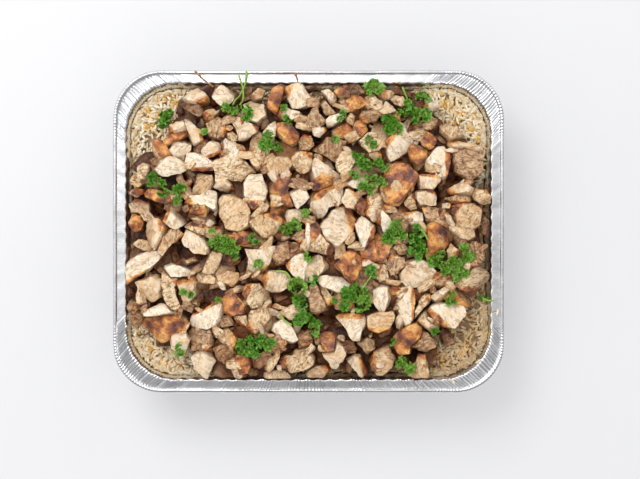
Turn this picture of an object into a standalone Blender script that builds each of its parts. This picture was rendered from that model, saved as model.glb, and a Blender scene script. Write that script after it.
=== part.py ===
# Chicken over rice in a half-size foil tray.
# Units are metres, +Z is up, and the origin is on the table under the middle of the tray.
# +X runs along the tray's long side.

import math
import random

import bmesh
import bpy
from mathutils import Vector, noise
from mathutils.geometry import delaunay_2d_cdt, intersect_point_line

# Foil tray
TRAY_LENGTH = 0.324
TRAY_WIDTH = 0.267
TRAY_DEPTH = 0.065
FOIL = 0.0005
RIM_WIDTH = 0.012
RIM_CORNER = 0.040
MOUTH_CORNER = 0.041
ROLL_RADIUS = 0.0017
ROLL_ANGLES = (100, 50, 0, -50, -100, -150)
RIDGE_WIDTH = 0.0012
RIDGE_DROP = 0.0004
MOUTH_DROP = 0.0022
CHANNEL_DROP = 0.0016
CHANNEL_INSET = 0.0052
CHANNEL_CORNER = 0.0369
WALL_SLOPE = 0.26
HEEL_RADIUS = 0.008
HEEL_CORNER = 0.032
HEEL_BEND = (0.30, 0.25)
RIB_DEPTH = 0.0007
RIB_TOP = 0.057

# Points round every level of the tray and of the rice in it
LONG_SIDE_STEPS = 22
SHORT_SIDE_STEPS = 16
CORNER_STEPS = 10

# Rice bed
RICE_LEVEL = 0.052
RICE_ROUGHNESS = 0.0016
RICE_BUMP_SPAN = 0.009
RICE_POINT_STEP = 0.0055
RICE_SHORE = (0.0030, 0.0150)
TOUCH_GAP = 0.0003

# How far the chicken stays back from each corner of the tray's mouth, along X and along Y,
# and how high the bare rice stands there above the level under the chicken
CORNERS = {
    "back_left": {"side": (-1, 1), "cut": (0.042, 0.084), "rise": 0.0030},
    "back_right": {"side": (1, 1), "cut": (0.056, 0.074), "rise": 0.0035},
    "front_right": {"side": (1, -1), "cut": (0.059, 0.087), "rise": 0.0070},
    "front_left": {"side": (-1, -1), "cut": (0.066, 0.060), "rise": 0.0030},
}

# Chicken heap
CHUNKS_LONG = 15
CHUNKS_SHORT = 12
WALL_CLEARANCE = 0.0025
CHUNK_JITTER = 0.0040
PLAN_WARP = 0.0075
PLAN_WARP_SPAN = 0.045
WARP_LAYERS = (3.0, 7.0)
LONG_STRIPS = 30
HEAP_EDGE = 0.0565
HEAP_CROWN = 0.0680
DOME_POWER = 0.6
SWELL_HEIGHT = 0.0022
SWELL_SPAN = 0.045
CHUNK_STAND = (0.0060, 0.0125)
CHUNK_SIDE = 0.0012
CHUNK_SHOULDER = 0.0027
CHUNK_ROUNDING = 0.0013
CHUNK_TILT = 0.28
SEED = 23

MATERIALS = {
    "foil": {"colour": (0.78, 0.78, 0.80, 1.0), "roughness": 0.28, "metallic": 1.0},
    "rice": {"colour": (0.78, 0.62, 0.38, 1.0), "roughness": 0.55, "metallic": 0.0},
    "chicken": {"colour": (0.67, 0.42, 0.22, 1.0), "roughness": 0.50, "metallic": 0.0},
}


def clear_scene():
    for item in list(bpy.data.objects):
        bpy.data.objects.remove(item, do_unlink=True)


def make_material(name):
    values = MATERIALS[name]
    material = bpy.data.materials.new(name)
    material.use_nodes = True
    shader = material.node_tree.nodes["Principled BSDF"]
    shader.inputs["Base Color"].default_value = values["colour"]
    shader.inputs["Roughness"].default_value = values["roughness"]
    shader.inputs["Metallic"].default_value = values["metallic"]
    return material


def make_node(name, mesh_builder, collection, material_name):
    mesh = bpy.data.meshes.new(name)
    bmesh.ops.recalc_face_normals(mesh_builder, faces=mesh_builder.faces)
    mesh_builder.to_mesh(mesh)
    mesh_builder.free()
    node = bpy.data.objects.new(name, mesh)
    node.data.materials.append(make_material(material_name))
    collection.objects.link(node)
    return node


# Rises smoothly from 0 at low to 1 at high
def smoothstep(low, high, value):
    share = min(max((value - low) / (high - low), 0.0), 1.0)
    return share * share * (3.0 - 2.0 * share)


# Points of a rounded rectangle, counter-clockwise from the end of the +X side's straight part.
# Every level has the same number of points, so levels join point to point.
# A rib height moves every second point out and the others in.
def ring(half_x, half_y, radius, z, rib=0.0):
    centres = [(1, 1, 0), (-1, 1, 90), (-1, -1, 180), (1, -1, 270)]
    side_steps = [LONG_SIDE_STEPS, SHORT_SIDE_STEPS, LONG_SIDE_STEPS, SHORT_SIDE_STEPS]
    points = []
    for corner, (sign_x, sign_y, start) in enumerate(centres):
        middle = Vector((sign_x * (half_x - radius), sign_y * (half_y - radius), z))
        for step in range(CORNER_STEPS + 1):
            angle = math.radians(start + 90.0 * step / CORNER_STEPS)
            out = Vector((math.cos(angle), math.sin(angle), 0.0))
            points.append((middle + out * radius, out))
        next_x, next_y, next_start = centres[(corner + 1) % 4]
        next_middle = Vector((next_x * (half_x - radius), next_y * (half_y - radius), z))
        out = points[-1][1]
        first = points[-1][0]
        last = next_middle + Vector(
            (math.cos(math.radians(next_start)), math.sin(math.radians(next_start)), 0.0)
        ) * radius
        for step in range(1, side_steps[corner]):
            points.append((first.lerp(last, step / side_steps[corner]), out))
    ribbed = []
    for index, (point, out) in enumerate(points):
        ribbed.append(point + out * (rib if index % 2 else -rib))
    return ribbed


# Half sizes and corner radius of the tray's inner face at a height on its sloping wall
def wall_at(z):
    out = WALL_SLOPE * (TRAY_DEPTH - z)
    height_share = z / TRAY_DEPTH
    radius = HEEL_CORNER + (MOUTH_CORNER - HEEL_CORNER) * height_share
    return (
        TRAY_LENGTH / 2 - RIM_WIDTH - out,
        TRAY_WIDTH / 2 - RIM_WIDTH - out,
        radius,
    )


def wall_ring(z, inset=0.0, rib=0.0):
    half_x, half_y, radius = wall_at(z)
    return ring(half_x - inset, half_y - inset, radius - inset, z, rib)


def join_rings(builder, lower, upper):
    count = len(lower)
    for index in range(count):
        following = (index + 1) % count
        builder.faces.new((lower[index], lower[following], upper[following], upper[index]))


# One pressed sheet: flat base, rounded heel, ribbed sloping wall, rounded mouth edge, flange and rolled rim
def make_tray(collection):
    half_x = TRAY_LENGTH / 2
    half_y = TRAY_WIDTH / 2
    heel_x, heel_y, heel_corner = wall_at(HEEL_RADIUS)
    bend_in, bend_up = (HEEL_RADIUS * share for share in HEEL_BEND)
    mouth_x = half_x - RIM_WIDTH
    mouth_y = half_y - RIM_WIDTH
    levels = [
        ring(heel_x - HEEL_RADIUS, heel_y - HEEL_RADIUS, heel_corner - HEEL_RADIUS, FOIL),
        ring(heel_x - bend_in, heel_y - bend_in, heel_corner - bend_in, FOIL + bend_up),
        wall_ring(HEEL_RADIUS, rib=RIB_DEPTH),
        wall_ring(RIB_TOP, rib=RIB_DEPTH),
        ring(mouth_x, mouth_y, MOUTH_CORNER, TRAY_DEPTH - MOUTH_DROP),
        ring(mouth_x + RIDGE_WIDTH, mouth_y + RIDGE_WIDTH, MOUTH_CORNER, TRAY_DEPTH - RIDGE_DROP),
        ring(half_x - CHANNEL_INSET, half_y - CHANNEL_INSET, CHANNEL_CORNER, TRAY_DEPTH - CHANNEL_DROP),
    ]
    for angle in ROLL_ANGLES:
        inset = ROLL_RADIUS * (1.0 - math.cos(math.radians(angle)))
        z = TRAY_DEPTH - ROLL_RADIUS * (1.0 - math.sin(math.radians(angle)))
        levels.append(ring(half_x - inset, half_y - inset, RIM_CORNER - inset, z))
    builder = bmesh.new()
    rings = [[builder.verts.new(point) for point in level] for level in levels]
    builder.faces.new(rings[0])
    for lower, upper in zip(rings, rings[1:]):
        join_rings(builder, lower, upper)
    tray = make_node("foil_tray", builder, collection, "foil")
    up = tray.data.polygons[0].normal.z > 0
    sheet = tray.modifiers.new("foil thickness", "SOLIDIFY")
    sheet.thickness = FOIL
    sheet.offset = -1.0 if up else 1.0
    sheet.use_even_offset = True
    tray.data.shade_smooth()


def in_corner_cut(x, y):
    half_x, half_y, _ = wall_at(TRAY_DEPTH)
    for corner in CORNERS.values():
        from_side_x = half_x - x * corner["side"][0]
        from_side_y = half_y - y * corner["side"][1]
        if from_side_x / corner["cut"][0] + from_side_y / corner["cut"][1] < 1.0:
            return True
    return False


# Height of the hollows between the chunks: a low dome from the walls to the crown
def heap_floor(x, y):
    half_x, half_y, _ = wall_at(TRAY_DEPTH)
    dome = (1.0 - (x / half_x) ** 2) * (1.0 - (y / half_y) ** 2)
    swell = noise.noise(Vector((x, y, 0.0)) / SWELL_SPAN) * SWELL_HEIGHT
    return HEAP_EDGE + (HEAP_CROWN - HEAP_EDGE) * dome ** DOME_POWER + swell


# Chopped chicken as one heap: a jittered plan of chunks, each raised with steep sides and a tilted top
def make_heap(collection):
    chance = random.Random(SEED)
    base_z = RICE_LEVEL + TOUCH_GAP
    half_x, half_y, _ = wall_at(RICE_LEVEL)
    half_x -= WALL_CLEARANCE
    half_y -= WALL_CLEARANCE
    builder = bmesh.new()
    bmesh.ops.create_grid(builder, x_segments=CHUNKS_LONG, y_segments=CHUNKS_SHORT, size=1.0)
    for vertex in builder.verts:
        vertex.co = Vector((vertex.co.x * half_x, vertex.co.y * half_y, base_z))
    bare = [face for face in builder.faces if in_corner_cut(*face.calc_center_median().xy)]
    bmesh.ops.delete(builder, geom=bare, context="FACES")
    for vertex in builder.verts:
        shift = Vector((chance.uniform(-1, 1), chance.uniform(-1, 1), 0.0)) * CHUNK_JITTER
        from_edge = min(half_x - abs(vertex.co.x), half_y - abs(vertex.co.y))
        warp = [noise.noise(vertex.co / PLAN_WARP_SPAN + Vector((0.0, 0.0, layer))) for layer in WARP_LAYERS]
        shift += Vector((*warp, 0.0)) * PLAN_WARP * smoothstep(0.0, PLAN_WARP_SPAN, from_edge)
        if abs(abs(vertex.co.x) - half_x) < TOUCH_GAP:
            shift.x = 0.0
        if abs(abs(vertex.co.y) - half_y) < TOUCH_GAP:
            shift.y = 0.0
        vertex.co += shift
        keep_in_round_corner(vertex.co)
    merge_strips(builder, chance)
    outline = boundary_loop(builder)

    raised = bmesh.ops.extrude_face_region(builder, geom=builder.faces[:])["geom"]
    tops = [item for item in raised if isinstance(item, bmesh.types.BMFace)]
    tops.sort(key=lambda face: face.calc_center_median()[:])
    for vertex in {vertex for face in tops for vertex in face.verts}:
        level = heap_floor(vertex.co.x, vertex.co.y)
        flare = WALL_SLOPE * (min(level, TRAY_DEPTH) - base_z)
        if abs(abs(vertex.co.x) - half_x) < TOUCH_GAP:
            vertex.co.x += math.copysign(flare, vertex.co.x)
        if abs(abs(vertex.co.y) - half_y) < TOUCH_GAP:
            vertex.co.y += math.copysign(flare, vertex.co.y)
        vertex.co.z = level
    for inset, lift in ((CHUNK_SIDE, None), (CHUNK_SHOULDER, CHUNK_ROUNDING)):
        bmesh.ops.inset_individual(builder, faces=tops, thickness=inset, use_even_offset=True)
        for face in tops:
            if lift is None:
                level_chunk_top(face, chance)
            else:
                for vertex in face.verts:
                    vertex.co.z += lift
    bottoms = [face for face in builder.faces if face.calc_center_median().z < base_z + TOUCH_GAP]
    bmesh.ops.dissolve_faces(builder, faces=bottoms)
    make_node("chicken_heap", builder, collection, "chicken")
    return outline


# A point that the jitter put past the tray's rounded corner comes back to it
def keep_in_round_corner(point):
    half_x, half_y, radius = wall_at(RICE_LEVEL)
    over_x = abs(point.x) - (half_x - radius)
    over_y = abs(point.y) - (half_y - radius)
    reach = radius - WALL_CLEARANCE
    past = math.hypot(over_x, over_y)
    if over_x > 0.0 and over_y > 0.0 and past > reach:
        point.x -= math.copysign(over_x * (1.0 - reach / past), point.x)
        point.y -= math.copysign(over_y * (1.0 - reach / past), point.y)


# Some neighbouring chunks become one long strip
def merge_strips(builder, chance):
    shared = [edge for edge in builder.edges if len(edge.link_faces) == 2]
    shared.sort(key=lambda edge: (edge.verts[0].co + edge.verts[1].co)[:])
    chance.shuffle(shared)
    used = set()
    dropped = []
    for edge in shared:
        if used.isdisjoint(edge.link_faces) and len(dropped) < LONG_STRIPS:
            used.update(edge.link_faces)
            dropped.append(edge)
    bmesh.ops.dissolve_edges(builder, edges=dropped, use_verts=False)


def boundary_loop(builder):
    edges = {edge for edge in builder.edges if len(edge.link_faces) == 1}
    edge = min(edges, key=lambda item: item.calc_length())
    start = edge.verts[0]
    vertex = edge.other_vert(start)
    loop = [start.co.copy()]
    while vertex != start:
        loop.append(vertex.co.copy())
        edge = next(item for item in vertex.link_edges if item in edges and item != edge)
        vertex = edge.other_vert(vertex)
    return loop


# The chunk's top becomes a flat, tilted face that stands above the hollows round it
def level_chunk_top(face, chance):
    middle = face.calc_center_median()
    stand = heap_floor(middle.x, middle.y) + chance.uniform(*CHUNK_STAND)
    slope_x = chance.uniform(-CHUNK_TILT, CHUNK_TILT)
    slope_y = chance.uniform(-CHUNK_TILT, CHUNK_TILT)
    for vertex in face.verts:
        away = vertex.co - middle
        vertex.co.z = stand + slope_x * away.x + slope_y * away.y


def distance_to_loop(point, loop):
    nearest = math.inf
    for first, last in zip(loop, loop[1:] + loop[:1]):
        foot, share = intersect_point_line(point, first, last)
        if share < 0.0:
            foot = first
        elif share > 1.0:
            foot = last
        nearest = min(nearest, (point.xy - foot.xy).length)
    return nearest


def inside_loop(point, loop):
    inside = False
    for first, last in zip(loop, loop[1:] + loop[:1]):
        if (first.y > point.y) != (last.y > point.y):
            crossing = first.x + (point.y - first.y) * (last.x - first.x) / (last.y - first.y)
            if point.x < crossing:
                inside = not inside
    return inside


# How far the bare rice stands above the level under the chicken
def rice_rise(point, outline):
    flat = Vector((point.x, point.y, 0.0))
    shore = smoothstep(*RICE_SHORE, distance_to_loop(flat, outline))
    for corner in CORNERS.values():
        if point.x * corner["side"][0] > 0 and point.y * corner["side"][1] > 0:
            bumps = noise.noise(flat / RICE_BUMP_SPAN) * RICE_ROUGHNESS
            return shore * (corner["rise"] + bumps)
    return 0.0


# Rice pressed into the tray: its sides follow the wall.
# Its top is flat under the chicken and uneven at the bare corners.
def make_rice(collection, heap_outline):
    outline = [Vector((point.x, point.y, 0.0)) for point in heap_outline]
    inset = RIB_DEPTH + TOUCH_GAP
    edge = []
    for index, point in enumerate(wall_ring(RICE_LEVEL, inset)):
        level = RICE_LEVEL + rice_rise(point, outline)
        edge.append(wall_ring(level, inset)[index])
    mouth = [Vector((point.x, point.y, 0.0)) for point in edge]
    loose = []
    half_x, half_y, _ = wall_at(RICE_LEVEL)
    columns = round(2 * half_x / RICE_POINT_STEP)
    rows = round(2 * half_y / RICE_POINT_STEP)
    for column in range(1, columns):
        for row in range(1, rows):
            point = Vector((column * RICE_POINT_STEP - half_x, row * RICE_POINT_STEP - half_y, 0.0))
            bare = inside_loop(point, mouth) and not inside_loop(point, outline)
            spacing = min(distance_to_loop(point, mouth), distance_to_loop(point, outline))
            if bare and spacing > RICE_POINT_STEP / 2:
                loose.append(point)
    flat_points = [point.xy for point in edge] + [point.xy for point in outline + loose]
    count = len(edge)
    borders = [(i, (i + 1) % count) for i in range(count)]
    borders += [(count + i, count + (i + 1) % len(outline)) for i in range(len(outline))]
    places, _, triangles, origins, _, _ = delaunay_2d_cdt(
        flat_points, borders, [list(range(count))], 1, 1e-7
    )
    builder = bmesh.new()
    top = []
    for place, origin in zip(places, origins):
        if origin and origin[0] < count:
            top.append(builder.verts.new(edge[origin[0]]))
        elif origin and origin[0] < count + len(outline):
            top.append(builder.verts.new((place.x, place.y, RICE_LEVEL)))
        else:
            rise = rice_rise(Vector((place.x, place.y, 0.0)), outline)
            top.append(builder.verts.new((place.x, place.y, RICE_LEVEL + rise)))
    for triangle in triangles:
        builder.faces.new([top[corner] for corner in triangle])
    bottom_z = FOIL + TOUCH_GAP
    heel_x, heel_y, heel_corner = wall_at(HEEL_RADIUS)
    heel_inset = HEEL_RADIUS + TOUCH_GAP
    levels = [
        ring(heel_x - heel_inset, heel_y - heel_inset, heel_corner - heel_inset, bottom_z),
        wall_ring(HEEL_RADIUS + TOUCH_GAP, inset),
        edge,
    ]
    rings = [[builder.verts.new(point) for point in level] for level in levels]
    builder.faces.new(rings[0])
    for lower, upper in zip(rings, rings[1:]):
        join_rings(builder, lower, upper)
    bmesh.ops.remove_doubles(builder, verts=builder.verts, dist=1e-6)
    make_node("rice_bed", builder, collection, "rice")


def main():
    clear_scene()
    collection = bpy.data.collections.new("chicken_over_rice")
    bpy.context.scene.collection.children.link(collection)
    make_tray(collection)
    heap_outline = make_heap(collection)
    make_rice(collection, heap_outline)


main()
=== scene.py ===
import math
import random
import bmesh
import bpy
import numpy as np
from mathutils import Matrix, Vector, noise


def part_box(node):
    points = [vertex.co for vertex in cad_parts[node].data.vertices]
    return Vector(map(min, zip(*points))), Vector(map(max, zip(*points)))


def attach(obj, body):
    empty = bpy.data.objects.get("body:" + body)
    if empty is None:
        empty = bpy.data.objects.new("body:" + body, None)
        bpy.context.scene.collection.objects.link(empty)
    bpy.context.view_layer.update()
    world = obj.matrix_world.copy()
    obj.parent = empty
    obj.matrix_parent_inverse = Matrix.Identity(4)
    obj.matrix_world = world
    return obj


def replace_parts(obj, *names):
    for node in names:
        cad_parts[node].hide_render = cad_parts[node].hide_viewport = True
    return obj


# Half-size foil tray of chopped grilled chicken over rice, seen from straight above.
# All lengths are metres. Places read off the photo are pixels of its 640 x 479 frame.

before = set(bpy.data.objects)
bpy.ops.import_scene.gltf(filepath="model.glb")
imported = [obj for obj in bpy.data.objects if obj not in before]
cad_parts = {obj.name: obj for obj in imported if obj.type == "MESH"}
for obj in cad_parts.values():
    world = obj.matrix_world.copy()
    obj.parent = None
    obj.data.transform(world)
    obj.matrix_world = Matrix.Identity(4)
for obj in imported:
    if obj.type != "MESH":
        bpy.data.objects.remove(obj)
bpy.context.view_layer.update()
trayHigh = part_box("foil_tray")[1]
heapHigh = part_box("chicken_heap")[1]
halfLong, halfShort, rimHeight = trayHigh.x, trayHigh.y, trayHigh.z
print("frame loaded, tray half sizes", round(halfLong, 4), round(halfShort, 4), "rim", round(rimHeight, 4))

photo = {
    "middle": (320.0, 239.5),
    "trayMiddle": (308.6, 231.5),
    "metresPerPixel": 0.000825,     # at the height of the rim
    "lens": 60.0,
    "sensor": 36.0,
}
photoWidth = 2 * photo["middle"][0] * photo["metresPerPixel"]
cameraSpot = Vector((
    (photo["middle"][0] - photo["trayMiddle"][0]) * photo["metresPerPixel"],
    (photo["trayMiddle"][1] - photo["middle"][1]) * photo["metresPerPixel"],
    rimHeight + photoWidth * photo["lens"] / photo["sensor"],
))


def fromPhoto(px, py, height=rimHeight):
    # the point at this height that the camera sees at this pixel
    spread = photo["metresPerPixel"] * (cameraSpot.z - height) / (cameraSpot.z - rimHeight)
    return (cameraSpot.x + (px - photo["middle"][0]) * spread,
            cameraSpot.y - (py - photo["middle"][1]) * spread)


def ease(low, high, value):
    share = min(max((value - low) / (high - low), 0.0), 1.0)
    return share * share * (3.0 - 2.0 * share)


def roughAt(x, y, z):
    return noise.noise(Vector((x, y, z)))


def meshPiece(name, points, faces, material, smoothAngle=None):
    mesh = bpy.data.meshes.new(name)
    mesh.from_pydata([tuple(point) for point in points], [], faces)
    mesh.materials.append(material)
    mesh.shade_smooth()
    if smoothAngle is not None:
        mesh.set_sharp_from_angle(angle=math.radians(smoothAngle))
    piece = bpy.data.objects.new(name, mesh)
    bpy.context.scene.collection.objects.link(piece)
    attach(piece, "root")
    return piece


def setLayer(piece, label, kind, values):
    layer = piece.data.attributes.new(label, kind, "POINT")
    layer.data.foreach_set("vector" if kind == "FLOAT_VECTOR" else "value", values)


def ringFaces(rings, count):
    # quads between closed rings of this many points
    return [(ring * count + index, ring * count + (index + 1) % count,
             (ring + 1) * count + (index + 1) % count, (ring + 1) * count + index)
            for ring in range(rings - 1) for index in range(count)]


# Shader nodes: an output is wired to a socket, a number or colour is set on it

def plug(tree, socket, value):
    if isinstance(value, bpy.types.NodeSocket):
        tree.links.new(value, socket)
    else:
        socket.default_value = (*value, 1.0) if socket.type == "RGBA" else value


def plugAll(tree, node, inputs):
    for label, value in inputs.items():
        plug(tree, node.inputs[label], value)


def addNode(tree, kind, settings, inputs, output=0):
    node = tree.nodes.new("ShaderNode" + kind)
    for name, value in settings.items():
        setattr(node, name, value)
    plugAll(tree, node, inputs)
    return node.outputs[output]


def noiseNode(tree, vector, scale, detail=3.0, roughness=0.55):
    inputs = {"Vector": vector, "Scale": scale, "Detail": detail, "Roughness": roughness}
    return addNode(tree, "TexNoise", {}, inputs, "Fac")


def maths(tree, operation, *values):
    return addNode(tree, "Math", {"operation": operation}, dict(enumerate(values)))


def times(tree, first, second):
    return maths(tree, "MULTIPLY", first, second)


def rangeNode(tree, value, low, high, toLow=0.0, toHigh=1.0):
    return addNode(tree, "MapRange", {"interpolation_type": "SMOOTHSTEP"},
                   {"Value": value, "From Min": low, "From Max": high, "To Min": toLow, "To Max": toHigh}, "Result")


def mixColour(tree, share, first, second, blend="MIX"):
    return addNode(tree, "Mix", {"data_type": "RGBA", "blend_type": blend}, {0: share, 6: first, 7: second}, 2)


def scaledVector(tree, vector, scale):
    return addNode(tree, "VectorMath", {"operation": "MULTIPLY"}, {0: vector, 1: scale})


def placeGroup(tree, group, *values):
    # values go to the group's inputs in order
    node = tree.nodes.new("ShaderNodeGroup")
    node.node_tree = group
    for socket, value in zip(node.inputs, values):
        plug(tree, socket, value)
    return node.outputs


def newGroup(name, numbers, outputs):
    # a group with a Vector input, number inputs with their defaults, and its outputs
    group = bpy.data.node_groups.new(name, "ShaderNodeTree")
    group.interface.new_socket("Vector", in_out="INPUT", socket_type="NodeSocketVector")
    for label, value in numbers.items():
        group.interface.new_socket(label, in_out="INPUT", socket_type="NodeSocketFloat").default_value = value
    for label in outputs:
        kind = "NodeSocketColor" if label == "Colour" else "NodeSocketFloat"
        group.interface.new_socket(label, in_out="OUTPUT", socket_type=kind)
    start, end = group.nodes.new("NodeGroupInput"), group.nodes.new("NodeGroupOutput")
    return group, start.outputs, end


def makeFibreGroup():
    # strands of muscle along the piece's own X axis, and the short breaks across them
    group, start, end = newGroup("muscle strands", {"Strand Size": 1.0}, ["Strands", "Creases", "Height"])
    sized = addNode(group, "VectorMath", {"operation": "SCALE"}, {0: start["Vector"], "Scale": start["Strand Size"]})
    strands = noiseNode(group, scaledVector(group, sized, (0.26, 1.0, 1.0)), 0.75, 4.0, 0.65)
    breaks = noiseNode(group, sized, 0.34, 5.0, 0.70)
    mixed = maths(group, "ADD", times(group, strands, 0.45), times(group, breaks, 0.55))
    folds = noiseNode(group, scaledVector(group, sized, (0.42, 1.0, 1.0)), 0.24, 4.0, 0.6)
    line = rangeNode(group, maths(group, "ABSOLUTE", maths(group, "SUBTRACT", folds, 0.5)), 0.006, 0.034, 1.0, 0.0)
    creases = times(group, line, rangeNode(group, noiseNode(group, start["Vector"], 0.14, 2.0), 0.42, 0.52))
    height = maths(group, "ADD", mixed, times(group, noiseNode(group, sized, 2.4, 2.0), 0.35))
    height = maths(group, "SUBTRACT", height, times(group, creases, 0.35))
    plugAll(group, end, {"Strands": rangeNode(group, mixed, 0.40, 0.58), "Creases": creases, "Height": height})
    return group


def makeBrowningGroup():
    # grill browning: gold where thin, through brown, to char where it is strongest
    group, start, end = newGroup("grill browning", {"Skin": 0.0, "Char": 0.0}, ["Colour", "Amount"])
    patches = noiseNode(group, start["Vector"], 0.16, 4.0, 0.65)
    broken = maths(group, "ADD", start["Skin"], maths(group, "MULTIPLY_ADD", patches, 0.9, -0.45))
    depth = maths(group, "ADD", noiseNode(group, start["Vector"], 0.10, 5.0, 0.62),
                  maths(group, "MULTIPLY_ADD", start["Skin"], 0.16, -0.12))
    depth = maths(group, "ADD", depth, times(group, start["Char"], 0.30))
    ramp = group.nodes.new("ShaderNodeValToRGB")
    stops = [(0.38, (0.90, 0.58, 0.24)), (0.49, (0.76, 0.34, 0.085)), (0.575, (0.46, 0.15, 0.040)),
             (0.66, (0.18, 0.055, 0.032)), (0.78, (0.055, 0.026, 0.028))]
    while len(ramp.color_ramp.elements) < len(stops):
        ramp.color_ramp.elements.new(0.5)
    for element, (place, colour) in zip(ramp.color_ramp.elements, stops):
        element.position = place
        element.color = (*colour, 1.0)
    plug(group, ramp.inputs["Fac"], depth)
    plugAll(group, end, {"Colour": ramp.outputs["Color"], "Amount": rangeNode(group, broken, 0.28, 0.60)})
    return group


def makeSpeckGroup():
    # pepper and dried herb specks
    group, start, end = newGroup("spice specks", {"Speck Size": 1.0, "Spread": 0.5}, ["Specks"])
    cells = group.nodes.new("ShaderNodeTexVoronoi")
    plugAll(group, cells, {"Vector": start["Vector"], "Scale": maths(group, "DIVIDE", 0.42, start["Speck Size"])})
    near = rangeNode(group, cells.outputs["Distance"], 0.13, 0.27, 1.0, 0.0)
    chosen = addNode(group, "SeparateColor", {}, {"Color": cells.outputs["Color"]})
    plugAll(group, end, {"Specks": times(group, near, maths(group, "LESS_THAN", chosen, start["Spread"]))})
    return group


def makeGrainGroup():
    # fine uneven surface for bump and gloss
    group, start, end = newGroup("surface grain", {"Grain Size": 1.0, "Low": 0.0, "High": 1.0}, ["Grain", "Height"])
    fine = noiseNode(group, start["Vector"], maths(group, "DIVIDE", 1.0, start["Grain Size"]), 4.0, 0.6)
    plugAll(group, end, {"Grain": rangeNode(group, fine, 0.32, 0.68, start["Low"], start["High"]), "Height": fine})
    return group


fibreGroup = makeFibreGroup()
browningGroup = makeBrowningGroup()
speckGroup = makeSpeckGroup()
grainGroup = makeGrainGroup()


def newMaterial(name):
    material = bpy.data.materials.new(name)
    material.use_nodes = True
    tree = material.node_tree
    return material, tree, tree.nodes["Principled BSDF"]


def attributeNode(tree, name, output="Fac"):
    return addNode(tree, "Attribute", {"attribute_name": name}, {}, output)


def bumpNode(tree, height, strength, distance):
    return addNode(tree, "Bump", {}, {"Strength": strength, "Distance": distance, "Height": height})


meatLooks = {
    "breastWhite": {
        "piece": "whiteBreastChunks", "strandSize": 0.9,
        "light": (0.99, 0.91, 0.77), "deep": (0.90, 0.70, 0.46), "blush": (0.84, 0.58, 0.32),
        "specks": 0.16, "creases": 0.50, "char": 0.05, "gloss": (0.30, 0.48), "bump": 0.8},
    "breastTan": {
        "piece": "tanBreastChunks", "strandSize": 1.0,
        "light": (0.97, 0.79, 0.54), "deep": (0.64, 0.40, 0.19), "blush": (0.68, 0.38, 0.15),
        "specks": 0.26, "creases": 0.85, "char": 0.08, "gloss": (0.28, 0.48), "bump": 1.0},
    "thighMeat": {
        "piece": "thighChunks", "strandSize": 0.9,
        "light": (0.74, 0.50, 0.28), "deep": (0.28, 0.13, 0.055), "blush": (0.38, 0.16, 0.08),
        "specks": 0.28, "creases": 0.80, "char": 0.14, "gloss": (0.24, 0.44), "bump": 1.0},
    "searedMeat": {
        "piece": "searedChunks", "strandSize": 0.9,
        "light": (0.88, 0.68, 0.44), "deep": (0.58, 0.35, 0.16), "blush": (0.66, 0.34, 0.12),
        "specks": 0.24, "creases": 0.50, "char": 0.08, "gloss": (0.16, 0.34), "bump": 0.7},
}


def makeMeatMaterial(name, look):
    material, tree, shader = newMaterial(name)
    local = attributeNode(tree, "grainMm", "Vector")
    strands, creases, height = placeGroup(tree, fibreGroup, local, look["strandSize"])
    colour = mixColour(tree, strands, look["deep"], look["light"])
    lift = maths(tree, "MULTIPLY_ADD", attributeNode(tree, "tone"), 0.5, 0.5)
    blotches = rangeNode(tree, noiseNode(tree, local, 0.16, 3.0), 0.44, 0.62)
    colour = mixColour(tree, times(tree, blotches, maths(tree, "SUBTRACT", 1.1, lift)), colour, look["blush"])
    colour = mixColour(tree, lift, mixColour(tree, 1.0, colour, (0.82, 0.70, 0.56), "MULTIPLY"), colour)
    browned, amount = placeGroup(tree, browningGroup, local, attributeNode(tree, "skin"), look["char"])
    colour = mixColour(tree, amount, colour, browned)
    specks = placeGroup(tree, speckGroup, local, 1.0, look["specks"])[0]
    colour = mixColour(tree, times(tree, specks, 0.70), colour, (0.14, 0.065, 0.03))
    # the creases are grooves in the bump, and the darker brown in them is painted shade
    torn = mixColour(tree, 1.0, colour, (0.42, 0.25, 0.13), "MULTIPLY")
    colour = mixColour(tree, times(tree, creases, look["creases"]), colour, torn)
    # painted shade: darker brown in the gaps between pieces and down each piece's sides, by the deep attribute
    paintedShade = mixColour(tree, 1.0, colour, (0.24, 0.125, 0.055), "MULTIPLY")
    plugAll(tree, shader, {
        "Base Color": mixColour(tree, attributeNode(tree, "deep"), colour, paintedShade),
        "Roughness": placeGroup(tree, grainGroup, local, 2.5, *look["gloss"])["Grain"],
        "Normal": bumpNode(tree, height, look["bump"], 0.0011),
        "Subsurface Weight": 0.10, "Subsurface Radius": (1.0, 0.55, 0.3), "Subsurface Scale": 0.002,
        "Coat Weight": 0.15, "Coat Roughness": 0.2,
    })
    return material


def makeRiceMaterial(name, light, deep, roughness):
    material, tree, shader = newMaterial(name)
    local = attributeNode(tree, "grainMm", "Vector")
    mottle = placeGroup(tree, grainGroup, local, 3.0, -0.2, 0.2)["Grain"]
    share = maths(tree, "ADD", maths(tree, "MULTIPLY_ADD", attributeNode(tree, "tone"), 0.5, 0.5), mottle)
    colour = mixColour(tree, share, deep, light)
    shaded = mixColour(tree, 1.0, colour, (0.34, 0.24, 0.14), "MULTIPLY")
    gloss, height = placeGroup(tree, grainGroup, local, 1.2, roughness - 0.08, roughness + 0.1)
    plugAll(tree, shader, {
        "Base Color": mixColour(tree, attributeNode(tree, "deep"), colour, shaded),
        "Roughness": gloss, "Normal": bumpNode(tree, height, 0.25, 0.0003),
        "Subsurface Weight": 0.2, "Subsurface Radius": (1.0, 0.7, 0.4), "Subsurface Scale": 0.002,
    })
    return material


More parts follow.
